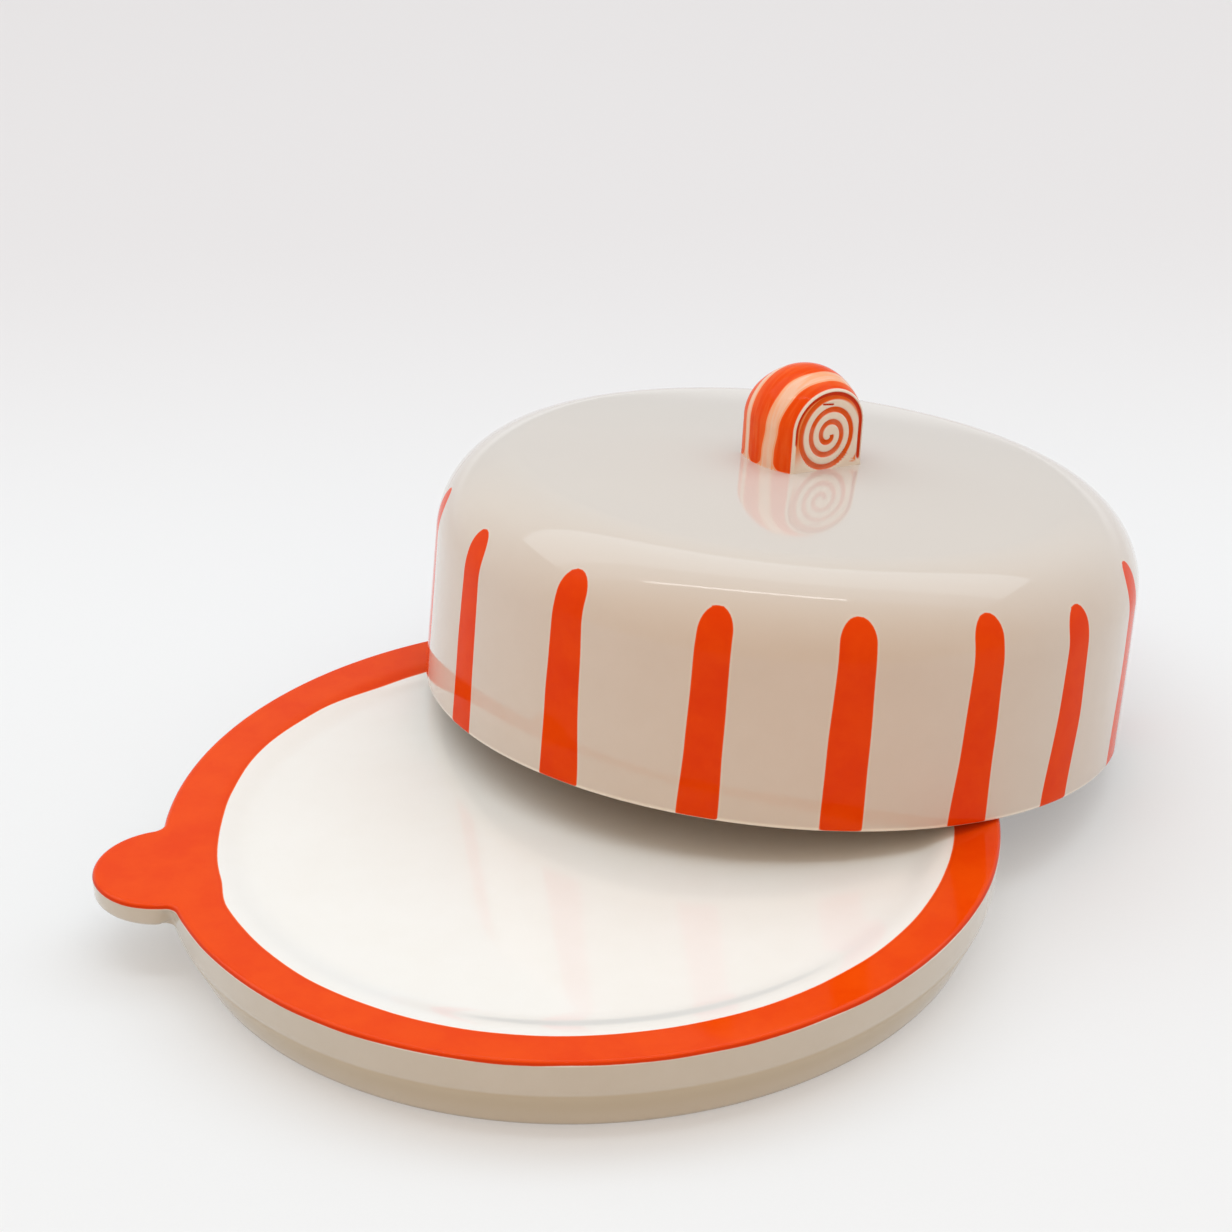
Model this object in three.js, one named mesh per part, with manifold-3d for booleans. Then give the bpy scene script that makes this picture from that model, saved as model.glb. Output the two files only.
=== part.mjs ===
// Round glazed serving plate with one finger tab, and the low cloche that covers it.
// The knob of the cloche is a moulded roll with a spiral carved in each end.
// The cloche stands as a cook leaves it: its near edge lies on the plate's rim, its far edge on the table.
// Millimetres, +Z up, table at z = 0.
import * as THREE from 'three';
import { mergeVertices } from 'three/addons/utils/BufferGeometryUtils.js';
import Module from 'manifold-3d';

const wasm = await Module();
wasm.setup();

// Plate: a flat rim, a shallow well, a wall that turns in to the foot, and a hollow underside.
const plateRadius = 140;
const plateHeight = 29;
const rimWidth = 14;
const rimEdgeRadius = 2.5;
const wellDepth = 3.5;
const coveWidth = 11;
const coveTopPull = 0.4;
const coveFootPull = 0.5;
const upperWallHeight = 13;
const wallDraft = 0.8;
const wallBend = 5;
const footRadius = 132;
const footWidth = 7;
const footEdgeRadius = 1.2;
const deckThickness = 7;
const undersideFillet = 8;
const undersideDraft = 2.5;

// Finger tab: a half-round lobe flush with the rim, with a small fillet on each side.
const tabRadius = 24;
const tabRootInset = 1.2;
const tabFillet = 4.5;
const tabThickness = 8;
const tabOverlap = 9;
const tabAngle = THREE.MathUtils.degToRad(-169.8);

// Cloche: a drum wall, a round shoulder and a slightly domed top.
const closingClearance = 1.6;
const clocheHeight = 89.3;
const clocheWall = 5;
const shoulderRadius = 30.6;
const crownRadius = 1310;
const lipRadius = 1.6;

// Knob: a short barrel roll with straight lower sides, set by eye: a little off the middle and a little aslant.
const knobLength = 28;
const knobEndWidth = 31.3;
const knobEndHeight = 29.4;
const knobSideBulge = 4;
const knobTopBulge = 5.8;
const knobFlankHeight = 15.9;
const knobEdgeRadius = 1.2;
const knobSeatGap = 0.3;
const knobSeatDepth = 1;
const knobShift = 1.3;
const knobTilt = THREE.MathUtils.degToRad(2.2);
const knobAngle = THREE.MathUtils.degToRad(-53.4);

// Spiral carved in both ends of the roll.
const spiralCentreHeight = 13.3;
const spiralStart = 1.3;
const spiralPitch = 4.5;
const spiralTurns = 2.75;
const grooveRadius = 0.9;

// How the cloche leans: how far and which way its centre is carried from the plate's centre.
const leanOffset = 116.2;
const leanDirection = THREE.MathUtils.degToRad(53.85);
const steepestLean = THREE.MathUtils.degToRad(45);
const restGap = 0.3;

// Facets and tolerances.
const turnSegments = 64;
const arcSteps = 4;
const tabSteps = 8;
const tabBevelSteps = 3;
const sectionSteps = 24;
const lengthSteps = 8;
const spiralSteps = 16;
const lipSteps = 720;
const weldTolerance = 1e-4;
const leanTolerance = 1e-6;

// Values that follow from the driving dimensions.
const rimInnerRadius = plateRadius - rimWidth;
const wellRadius = rimInnerRadius - coveWidth;
const wellFloor = plateHeight - wellDepth;
const deckUnderside = wellFloor - deckThickness;
const clocheRadius = rimInnerRadius - closingClearance;

function latheSolid(path) {
  const geometry = new THREE.LatheGeometry(path.getPoints(arcSteps), turnSegments);
  geometry.rotateX(Math.PI / 2);
  return geometry;
}

function toSolid(geometry) {
  const bare = geometry.clone();
  bare.deleteAttribute('normal');
  bare.deleteAttribute('uv');
  const merged = mergeVertices(bare, weldTolerance);
  const corners = merged.index.array;
  const triVerts = [];
  for (let i = 0; i < corners.length; i += 3) {
    const [a, b, c] = [corners[i], corners[i + 1], corners[i + 2]];
    if (a !== b && b !== c && c !== a) {
      triVerts.push(a, b, c);
    }
  }
  const mesh = new wasm.Mesh({
    numProp: 3,
    vertProperties: new Float32Array(merged.attributes.position.array),
    triVerts: new Uint32Array(triVerts),
  });
  return new wasm.Manifold(mesh);
}

function toGeometry(solid) {
  const mesh = solid.getMesh();
  const geometry = new THREE.BufferGeometry();
  geometry.setAttribute('position', new THREE.BufferAttribute(new Float32Array(mesh.vertProperties), 3));
  geometry.setIndex(new THREE.BufferAttribute(new Uint32Array(mesh.triVerts), 1));
  geometry.computeVertexNormals();
  return geometry;
}

function piece(name, geometry, look) {
  const mesh = new THREE.Mesh(geometry, new THREE.MeshStandardMaterial(look));
  mesh.name = name;
  return mesh;
}

// The plate's half section, from the middle of the underside round to the middle of the well.
function plateProfile() {
  const footInner = footRadius - footWidth;
  const hollowRadius = footInner - undersideDraft;
  const bendHeight = plateHeight - upperWallHeight;
  const bendRadius = plateRadius - wallDraft;
  const lowerSlope = (bendRadius - footRadius) / bendHeight;
  const upperSlope = wallDraft / (upperWallHeight - rimEdgeRadius);
  const path = new THREE.Path();
  path.moveTo(0, deckUnderside);
  path.lineTo(hollowRadius - undersideFillet, deckUnderside);
  path.quadraticCurveTo(hollowRadius, deckUnderside, hollowRadius, deckUnderside - undersideFillet);
  path.lineTo(footInner, footEdgeRadius);
  path.quadraticCurveTo(footInner, 0, footInner + footEdgeRadius, 0);
  path.lineTo(footRadius - footEdgeRadius, 0);
  path.quadraticCurveTo(footRadius, 0, footRadius + lowerSlope * footEdgeRadius, footEdgeRadius);
  path.lineTo(bendRadius - lowerSlope * wallBend, bendHeight - wallBend);
  path.quadraticCurveTo(bendRadius, bendHeight, bendRadius + upperSlope * wallBend, bendHeight + wallBend);
  path.lineTo(plateRadius, plateHeight - rimEdgeRadius);
  path.absarc(plateRadius - rimEdgeRadius, plateHeight - rimEdgeRadius, rimEdgeRadius, 0, Math.PI / 2);
  path.lineTo(rimInnerRadius, plateHeight);
  path.bezierCurveTo(
    rimInnerRadius - coveWidth * coveTopPull, plateHeight,
    wellRadius + coveWidth * coveFootPull, wellFloor,
    wellRadius, wellFloor,
  );
  path.lineTo(0, wellFloor);
  return path;
}

// The tab's outline, pointing along +X. Each fillet is tangent to the rim's circle and to the lobe.
function tabOutline() {
  const lobeCentre = plateRadius - tabRootInset;
  const rimReach = plateRadius + tabFillet;
  const lobeReach = tabRadius + tabFillet;
  const filletX = (rimReach ** 2 - lobeReach ** 2 + lobeCentre ** 2) / (2 * lobeCentre);
  const filletY = Math.sqrt(rimReach ** 2 - filletX ** 2);
  const rimTurn = Math.atan2(filletY, filletX);
  const lobeTurn = Math.atan2(filletY, filletX - lobeCentre);
  const root = plateRadius - tabOverlap;
  const shape = new THREE.Shape();
  shape.moveTo(root * Math.cos(rimTurn), -root * Math.sin(rimTurn));
  shape.lineTo(plateRadius * Math.cos(rimTurn), -plateRadius * Math.sin(rimTurn));
  shape.absarc(filletX, -filletY, tabFillet, Math.PI - rimTurn, Math.PI - lobeTurn, true);
  shape.absarc(lobeCentre, 0, tabRadius, -lobeTurn, lobeTurn);
  shape.absarc(filletX, filletY, tabFillet, Math.PI + lobeTurn, Math.PI + rimTurn, true);
  shape.lineTo(root * Math.cos(rimTurn), root * Math.sin(rimTurn));
  return shape;
}

function buildPlate() {
  const tab = new THREE.ExtrudeGeometry(tabOutline(), {
    depth: tabThickness - 2 * rimEdgeRadius,
    curveSegments: tabSteps,
    bevelThickness: rimEdgeRadius,
    bevelSize: rimEdgeRadius,
    bevelOffset: -rimEdgeRadius,
    bevelSegments: tabBevelSteps,
  });
  tab.translate(0, 0, plateHeight - tabThickness + rimEdgeRadius);
  tab.rotateZ(tabAngle);
  return toGeometry(toSolid(latheSolid(plateProfile())).add(toSolid(tab)));
}

// A drum wall that turns through a round shoulder into a shallow spherical top, grown or shrunk by an offset.
function domeArcs(offset) {
  const shoulder = shoulderRadius + offset;
  const crown = crownRadius + offset;
  const crownCentre = clocheHeight - crownRadius;
  const shoulderCentreRadius = clocheRadius - shoulderRadius;
  const rise = Math.sqrt((crownRadius - shoulderRadius) ** 2 - shoulderCentreRadius ** 2);
  const shoulderCentreHeight = crownCentre + rise;
  const meeting = Math.atan2(rise, shoulderCentreRadius);
  return { shoulder, crown, crownCentre, shoulderCentreRadius, shoulderCentreHeight, meeting };
}

// The cloche's half section, from the middle of its ceiling, down inside, round the lip and up outside.
function clocheProfile() {
  const inside = domeArcs(-clocheWall);
  const outside = domeArcs(0);
  const innerRadius = clocheRadius - clocheWall;
  const path = new THREE.Path();
  path.moveTo(0, clocheHeight - clocheWall);
  path.absarc(0, inside.crownCentre, inside.crown, Math.PI / 2, inside.meeting, true);
  path.absarc(
    inside.shoulderCentreRadius, inside.shoulderCentreHeight, inside.shoulder, inside.meeting, 0, true,
  );
  path.lineTo(innerRadius, lipRadius);
  path.absarc(innerRadius + lipRadius, lipRadius, lipRadius, Math.PI, 1.5 * Math.PI);
  path.lineTo(clocheRadius - lipRadius, 0);
  path.absarc(clocheRadius - lipRadius, lipRadius, lipRadius, -Math.PI / 2, 0);
  path.absarc(
    outside.shoulderCentreRadius, outside.shoulderCentreHeight, outside.shoulder, 0, outside.meeting,
  );
  path.absarc(0, outside.crownCentre, outside.crown, outside.meeting, Math.PI / 2);
  return path;
}

// One cross section of the roll, square to its length: straight sides under half an ellipse.
function rollSection(along, inset) {
  const swell = 1 - (2 * along / knobLength) ** 2;
  const halfWidth = knobEndWidth / 2 + knobSideBulge * swell - inset;
  const archHeight = knobEndHeight - knobFlankHeight + knobTopBulge * swell - inset;
  const points = [new THREE.Vector3(along, -halfWidth, 0)];
  for (let i = 0; i <= sectionSteps; i += 1) {
    const turn = Math.PI * i / sectionSteps;
    const across = -halfWidth * Math.cos(turn);
    points.push(new THREE.Vector3(along, across, knobFlankHeight + archHeight * Math.sin(turn)));
  }
  points.push(new THREE.Vector3(along, halfWidth, 0));
  return points;
}

// A closed skin over rows of points, with a flat fan over the first row and the last.
function skinSections(sections) {
  const count = sections[0].length;
  const vertices = sections.flat();
  const index = [];
  for (let row = 0; row < sections.length - 1; row += 1) {
    for (let i = 0; i < count; i += 1) {
      const a = row * count + i;
      const b = row * count + (i + 1) % count;
      index.push(a, a + count, b);
      index.push(b, a + count, b + count);
    }
  }
  const last = (sections.length - 1) * count;
  for (let i = 1; i < count - 1; i += 1) {
    index.push(0, i, i + 1);
    index.push(last, last + i + 1, last + i);
  }
  const geometry = new THREE.BufferGeometry().setFromPoints(vertices);
  geometry.setIndex(index);
  return geometry;
}

function rollBlank() {
  const straight = knobLength / 2 - knobEdgeRadius;
  const rows = [];
  for (let i = 0; i <= arcSteps / 2; i += 1) {
    const turn = Math.PI * i / arcSteps;
    const along = straight + knobEdgeRadius * Math.cos(turn);
    rows.push(rollSection(-along, knobEdgeRadius * (1 - Math.sin(turn))));
  }
  for (let i = 1; i < lengthSteps; i += 1) {
    rows.push(rollSection(straight * (2 * i / lengthSteps - 1), 0));
  }
  for (let i = arcSteps / 2; i >= 0; i -= 1) {
    const turn = Math.PI * i / arcSteps;
    const along = straight + knobEdgeRadius * Math.cos(turn);
    rows.push(rollSection(along, knobEdgeRadius * (1 - Math.sin(turn))));
  }
  return skinSections(rows);
}

// The line of the spiral on one end of the roll, from its middle outward.
class SpiralCurve extends THREE.Curve {
  constructor(endSign) {
    super();
    this.endSign = endSign;
  }

  getPoint(share, target = new THREE.Vector3()) {
    const turn = 2 * Math.PI * spiralTurns * share;
    const reach = spiralStart + spiralPitch * spiralTurns * share;
    const across = reach * Math.cos(turn);
    const up = spiralCentreHeight - reach * Math.sin(turn);
    return target.set(this.endSign * knobLength / 2, across, up);
  }
}

function spiralCutter(endSign) {
  const round = new THREE.Shape();
  round.absarc(0, 0, grooveRadius, 0, 2 * Math.PI);
  return new THREE.ExtrudeGeometry(round, {
    steps: Math.round(spiralTurns * spiralSteps),
    curveSegments: arcSteps,
    extrudePath: new SpiralCurve(endSign),
  });
}

// The top of the cloche, raised by the seat gap: it shapes the underside of the knob.
function seatCutter() {
  const top = domeArcs(knobSeatGap);
  const reach = knobLength + knobEndWidth;
  const edgeHeight = top.crownCentre + Math.sqrt(top.crown ** 2 - reach ** 2);
  const path = new THREE.Path();
  path.moveTo(0, edgeHeight - knobLength);
  path.lineTo(reach, edgeHeight - knobLength);
  path.lineTo(reach, edgeHeight);
  path.absarc(0, top.crownCentre, top.crown, Math.acos(reach / top.crown), Math.PI / 2);
  return latheSolid(path);
}

function buildKnob() {
  let roll = toSolid(rollBlank());
  for (const endSign of [1, -1]) {
    roll = roll.subtract(toSolid(spiralCutter(endSign)));
  }
  const placed = toGeometry(roll);
  placed.rotateX(knobTilt);
  placed.rotateZ(knobAngle);
  placed.translate(knobShift, 0, clocheHeight - knobSeatDepth);
  return toGeometry(toSolid(placed).subtract(toSolid(seatCutter())));
}

// Distance from a point to the plate's outer body, taken as a disc with a rounded top edge.
function distanceToRim(point) {
  const outward = Math.hypot(point.x, point.y) - (plateRadius - rimEdgeRadius);
  const upward = point.z - (plateHeight - rimEdgeRadius);
  const outside = Math.hypot(Math.max(outward, 0), Math.max(upward, 0));
  return outside + Math.min(Math.max(outward, upward), 0) - rimEdgeRadius;
}

// Where the cloche is for one lean: its lowest point is on the table.
function leaningPlace(lean) {
  const axis = new THREE.Vector3(-Math.sin(leanDirection), Math.cos(leanDirection), 0);
  const lift = (clocheRadius - lipRadius) * Math.sin(lean) + lipRadius * (1 - Math.cos(lean));
  const place = new THREE.Matrix4().makeRotationAxis(axis, lean);
  place.setPosition(leanOffset * Math.cos(leanDirection), leanOffset * Math.sin(leanDirection), lift);
  return place;
}

// The least distance between the round edges of the lip and the rim, for one lean.
function lipClearance(lean) {
  const place = leaningPlace(lean);
  let least = Infinity;
  for (let i = 0; i < lipSteps; i += 1) {
    const turn = 2 * Math.PI * i / lipSteps;
    for (const reach of [clocheRadius - lipRadius, clocheRadius - clocheWall + lipRadius]) {
      const point = new THREE.Vector3(reach * Math.cos(turn), reach * Math.sin(turn), lipRadius);
      least = Math.min(least, distanceToRim(point.applyMatrix4(place)) - lipRadius);
    }
  }
  return least;
}

// The cloche leans just far enough for its lip to lie on the rim.
function restingLean() {
  let low = 0;
  let high = steepestLean;
  while (high - low > leanTolerance) {
    const middle = (low + high) / 2;
    if (lipClearance(middle) < restGap) {
      low = middle;
    } else {
      high = middle;
    }
  }
  return high;
}

const servingPlate = new THREE.Group();
servingPlate.add(piece('plate', buildPlate(), { color: 0xf0ece4, roughness: 0.12, metalness: 0 }));

const leaningCloche = new THREE.Group();
leaningCloche.applyMatrix4(leaningPlace(restingLean()));
const clocheLook = { color: 0xdcd5cb, roughness: 0.1, metalness: 0 };
leaningCloche.add(piece('cloche', latheSolid(clocheProfile()), clocheLook));
leaningCloche.add(piece('knob', buildKnob(), { color: 0xe8501e, roughness: 0.12, metalness: 0 }));
servingPlate.add(leaningCloche);

// The origin is under the middle of the whole set, on the table.
servingPlate.updateMatrixWorld(true);
const box = new THREE.Box3().setFromObject(servingPlate, true);
const middle = box.getCenter(new THREE.Vector3());
servingPlate.position.set(-middle.x, -middle.y, -box.min.z);

export default servingPlate;
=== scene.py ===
import math

import bpy
from mathutils import Matrix, Vector


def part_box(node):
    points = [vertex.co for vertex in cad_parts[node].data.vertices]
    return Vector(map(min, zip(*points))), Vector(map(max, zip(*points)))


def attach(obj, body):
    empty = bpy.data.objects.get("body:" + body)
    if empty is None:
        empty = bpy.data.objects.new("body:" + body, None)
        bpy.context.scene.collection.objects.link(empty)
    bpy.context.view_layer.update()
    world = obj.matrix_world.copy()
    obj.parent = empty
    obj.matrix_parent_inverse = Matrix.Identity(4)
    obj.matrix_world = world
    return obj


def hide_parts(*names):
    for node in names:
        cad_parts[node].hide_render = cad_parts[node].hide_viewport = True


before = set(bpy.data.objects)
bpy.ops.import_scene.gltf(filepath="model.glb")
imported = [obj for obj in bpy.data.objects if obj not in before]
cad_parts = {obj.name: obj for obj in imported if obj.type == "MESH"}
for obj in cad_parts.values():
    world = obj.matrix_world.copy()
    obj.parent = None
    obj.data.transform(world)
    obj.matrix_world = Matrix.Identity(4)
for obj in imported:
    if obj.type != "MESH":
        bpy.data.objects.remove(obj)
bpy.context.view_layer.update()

# Plate
# One casting of pale earthenware: a flat rim round a shallow well, a wall that turns in to a foot ring,
# a hollow underside, and a finger tab cast with the rim. The well is glazed white; the outside is coloured a
# darker cream as painted shade, darker still below its bend.
# The top of rim and tab is brushed orange by hand, so the colour ends in a soft, slightly wavering line.
mm = 0.001
plate_low, plate_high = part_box("plate")
plate_radius = (plate_high.y - plate_low.y) / 2
plate_height = plate_high.z
plate_middle = Vector((plate_high.x - plate_radius, (plate_low.y + plate_high.y) / 2, 0))
rim_width = 14 * mm
rim_round = 1.8 * mm
well_depth = 2.5 * mm
cove_width = 17 * mm
bend_height = 16 * mm
bend_reach = 2.2 * mm
wall_draft = 0.8 * mm
foot_radius = 132 * mm
foot_width = 7 * mm
foot_round = 1.2 * mm
deck_thickness = 8 * mm
hollow_fillet = 8 * mm
hollow_draft = 2.5 * mm
tab_radius = 24 * mm
tab_inset = 1.2 * mm
tab_fillet = 4.5 * mm
tab_thickness = 8 * mm
tab_root_fillet = 3 * mm
tab_blend = 6 * mm
tab_angle = math.radians(-169.8)
rim_steps = 300
fillet_steps = 12
tab_steps = 64
cove_steps = 20
wall_steps = 12

rim_inner = plate_radius - rim_width
well_radius = rim_inner - cove_width
well_floor = plate_height - well_depth
deck_underside = well_floor - deck_thickness
foot_inner = foot_radius - foot_width


def smooth(share):
    """An S-shaped ease from 0 to 1."""
    share = min(max(share, 0), 1)
    return share * share * (3 - 2 * share)


def along_line(stops, at):
    """A value read off a line through (position, value) stops, with an ease between neighbours."""
    for (low, first), (high, second) in zip(stops, stops[1:]):
        if at <= high:
            return first + (second - first) * smooth((at - low) / (high - low))
    return stops[-1][1]


def arc(middle, radius, start, stop, steps):
    """Points of an arc, without the last, each with the direction from the arc's middle."""
    for i in range(steps):
        turn = start + (stop - start) * i / steps
        way = Vector((math.cos(turn), math.sin(turn)))
        yield middle + radius * way, way


def quarter_turn(steps, first=1):
    """The angles of a quarter turn in even steps, from the first step, or from 0 for its very start."""
    return [math.pi / 2 * i / steps for i in range(first, steps + 1)]


def plate_edge():
    """Points round the outer edge of rim and tab, anticlockwise, each with its outward direction."""
    lobe = plate_radius - tab_inset
    rim_reach = plate_radius + tab_fillet
    lobe_reach = tab_radius + tab_fillet
    fillet_x = (rim_reach ** 2 - lobe_reach ** 2 + lobe ** 2) / (2 * lobe)
    fillet_y = math.sqrt(rim_reach ** 2 - fillet_x ** 2)
    rim_turn = math.atan2(fillet_y, fillet_x)
    lobe_turn = math.atan2(fillet_y, fillet_x - lobe)
    low = Vector((fillet_x, -fillet_y))
    high = Vector((fillet_x, fillet_y))
    low_arc = arc(low, tab_fillet, math.pi - rim_turn, math.pi - lobe_turn, fillet_steps)
    high_arc = arc(high, tab_fillet, math.pi + lobe_turn, math.pi + rim_turn, fillet_steps)
    edge = list(arc(Vector((0, 0)), plate_radius, rim_turn, 2 * math.pi - rim_turn, rim_steps))
    edge += [(point, -way) for point, way in low_arc]
    edge += arc(Vector((lobe, 0)), tab_radius, -lobe_turn, lobe_turn, tab_steps)
    edge += [(point, -way) for point, way in high_arc]
    spin = Matrix.Rotation(tab_angle, 2)
    return [(spin @ point, spin @ way) for point, way in edge]


def wall_radius(height):
    """The plate's outer radius below the rim: a steep band, a soft bend, then a taper to the foot."""
    bend = plate_radius - wall_draft
    slope = (bend - foot_radius) / bend_height
    low_end = bend - slope * bend_reach
    high_end = bend + wall_draft * bend_reach / (plate_height - rim_round - bend_height)
    if height < bend_height - bend_reach:
        return foot_radius + slope * height
    if height > bend_height + bend_reach:
        top = plate_height - rim_round
        share = (height - bend_height - bend_reach) / (top - bend_height - bend_reach)
        return high_end + (plate_radius - high_end) * share
    share = (height - bend_height + bend_reach) / (2 * bend_reach)
    return low_end * (1 - share) ** 2 + 2 * bend * share * (1 - share) + high_end * share ** 2


def side_rows(edge, out, spoke):
    """One line of points down the outside, from the rim's edge to the foot, and first in under the tab."""
    start = plate_height - rim_round
    shelf = plate_height - tab_thickness
    root = shelf - tab_root_fillet
    root_point = spoke * wall_radius(root)
    under = edge - out * rim_round
    meeting = spoke * (wall_radius(shelf) + tab_root_fillet)
    lug = [(edge, start + (shelf + rim_round - start) * i / 3) for i in range(1, 4)]
    for turn in quarter_turn(6):
        tucked = edge - out * rim_round * (1 - math.cos(turn))
        lug.append((tucked, shelf + rim_round * (1 - math.sin(turn))))
    lug += [(under.lerp(meeting, i / 5), shelf) for i in range(1, 6)]
    for turn in quarter_turn(5):
        sweep = meeting.lerp(root_point, math.sin(turn))
        lug.append((sweep, shelf - tab_root_fillet * (1 - math.cos(turn))))
    reach = max(edge.length - plate_radius, 0)
    share = smooth(reach / tab_blend)
    rows = []
    for i, (point, height) in enumerate(lug):
        fall = (i + 1) / len(lug)
        plain_height = start + (root - start) * fall
        plain = spoke * (wall_radius(plain_height) + reach * (1 - fall) ** 2)
        rows.append((plain.lerp(point, share), plain_height + (height - plain_height) * share))
    for i in range(1, wall_steps + 1):
        height = root + (foot_round - root) * i / wall_steps
        rows.append((spoke * wall_radius(height), height))
    return rows


def plate_column(edge, out):
    """One line of points over the plate, from near the middle of the well to near that of the underside."""
    inset = edge - out * rim_round
    spoke = inset.normalized()
    rows = [(spoke * well_radius * share, well_floor) for share in (0.25, 0.5, 0.75, 0.9, 0.98)]
    for i in range(cove_steps + 1):
        share = i / cove_steps
        ease = share ** 3 * (share * (6 * share - 15) + 10)
        rows.append((spoke * (well_radius + cove_width * share), well_floor + well_depth * ease))
    flat = spoke * rim_inner
    rows += [(flat.lerp(inset, share), plate_height) for share in (0.06, 0.35, 0.65, 0.94)]
    for turn in quarter_turn(9, 0):
        height = plate_height - rim_round * (1 - math.cos(turn))
        rows.append((inset + out * rim_round * math.sin(turn), height))
    rows += side_rows(edge, out, spoke)
    for turn in quarter_turn(4):
        reach = foot_radius - foot_round * (1 - math.cos(turn))
        rows.append((spoke * reach, foot_round * (1 - math.sin(turn))))
    for turn in quarter_turn(4, 0):
        reach = foot_inner + foot_round * (1 - math.sin(turn))
        rows.append((spoke * reach, foot_round * (1 - math.cos(turn))))
    hollow = foot_inner - hollow_draft
    rows.append((spoke * (foot_inner + hollow) / 2, (foot_round + deck_underside - hollow_fillet) / 2))
    for turn in quarter_turn(6, 0):
        reach = hollow - hollow_fillet * (1 - math.cos(turn))
        rows.append((spoke * reach, deck_underside - hollow_fillet * (1 - math.sin(turn))))
    deck = spoke * (hollow - hollow_fillet)
    rows += [(deck * share, deck_underside) for share in (0.97, 0.8, 0.5, 0.2)]
    return [Vector((point.x, point.y, height)) for point, height in rows]


def skin(name, first, rings, last):
    """A closed smooth mesh over rings of points, from one end point to the other."""
    count = len(rings[0])
    points = [first] + [point for ring in rings for point in ring] + [last]
    faces = []
    end = len(points) - 1
    for i in range(count):
        j = (i + 1) % count
        faces.append((0, 1 + i, 1 + j))
        for row in range(len(rings) - 1):
            a = 1 + row * count
            b = a + count
            faces.append((a + i, b + i, b + j, a + j))
        faces.append((end - count + i, end, end - count + j))
    mesh = bpy.data.meshes.new(name)
    mesh.from_pydata(points, [], faces)
    mesh.shade_smooth()
    return mesh


def fired_piece(name, mesh, place, materials, marks):
    """An object put where the piece stands. Its mesh keeps the piece's own coordinates, and its marks."""
    own = mesh.attributes.new("own_place", "FLOAT_VECTOR", "POINT")
    own.data.foreach_set("vector", [part for vertex in mesh.vertices for part in vertex.co])
    for label, values in marks.items():
        mesh.attributes.new(label, "FLOAT", "POINT").data.foreach_set("value", values)
    mesh.transform(place)
    for material in materials:
        mesh.materials.append(material)
    made = bpy.data.objects.new(name, mesh)
    bpy.context.scene.collection.objects.link(made)
    return made


def colour(red, green, blue):
    """A display colour from 0 to 255 as the linear colour that a shader takes."""
    linear = []
    for part in (red, green, blue):
        part /= 255
        linear.append(part / 12.92 if part <= 0.04045 else ((part + 0.055) / 1.055) ** 2.4)
    return (*linear, 1)


def node(tree, kind, inputs=None, **settings):
    """A node with its settings, and each input set to a value or joined to another node's output."""
    made = tree.nodes.new(kind)
    for name, value in settings.items():
        setattr(made, name, value)
    for name, value in (inputs or {}).items():
        if isinstance(value, bpy.types.NodeSocket):
            tree.links.new(value, made.inputs[name])
        else:
            made.inputs[name].default_value = value
    return made


def calc(tree, operation, *values, clamp=False):
    """The result of a Math node."""
    inputs = dict(enumerate(values))
    return node(tree, "ShaderNodeMath", inputs, operation=operation, use_clamp=clamp).outputs[0]


def blend(tree, share, first, second):
    """A mix of two colours."""
    inputs = {"Factor": share, 6: first, 7: second}
    return node(tree, "ShaderNodeMix", inputs, data_type="RGBA").outputs[2]


def tint(tree, base, mask, share, over):
    """A colour with another laid over it where a mask is, up to a share."""
    return blend(tree, calc(tree, "MULTIPLY", mask, share), base, over)


def ramp(tree, value, low, high, to_low=0.0, to_high=1.0):
    """A smooth step of a value from one level to another."""
    inputs = {"Value": value, "From Min": low, "From Max": high, "To Min": to_low, "To Max": to_high}
    made = node(tree, "ShaderNodeMapRange", inputs, interpolation_type="SMOOTHSTEP")
    return made.outputs["Result"]


def cloud(tree, place, scale, detail=2.0, roughness=0.5):
    """Soft noise from 0 to 1."""
    inputs = {"Vector": place, "Scale": scale, "Detail": detail, "Roughness": roughness}
    return node(tree, "ShaderNodeTexNoise", inputs).outputs["Fac"]


def mark(tree, name):
    """A value marked on the points of a piece."""
    return node(tree, "ShaderNodeAttribute", attribute_name=name).outputs["Fac"]


def parts(tree, place):
    """The X, Y and Z of a place or direction."""
    return node(tree, "ShaderNodeSeparateXYZ", {"Vector": place}).outputs


def shader_group(name, inputs, outputs):
    """An empty node group with its sockets, and the nodes that hold its inputs and outputs."""
    tree = bpy.data.node_groups.new(name, "ShaderNodeTree")
    for socket, kind in inputs:
        tree.interface.new_socket(socket, in_out="INPUT", socket_type=kind)
    for socket, kind in outputs:
        tree.interface.new_socket(socket, in_out="OUTPUT", socket_type=kind)
    return tree, tree.nodes.new("NodeGroupInput").outputs, tree.nodes.new("NodeGroupOutput").inputs


peel_height = 0.007
pinhole_height = 0.006
pinhole_tone = 0.6


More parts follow.
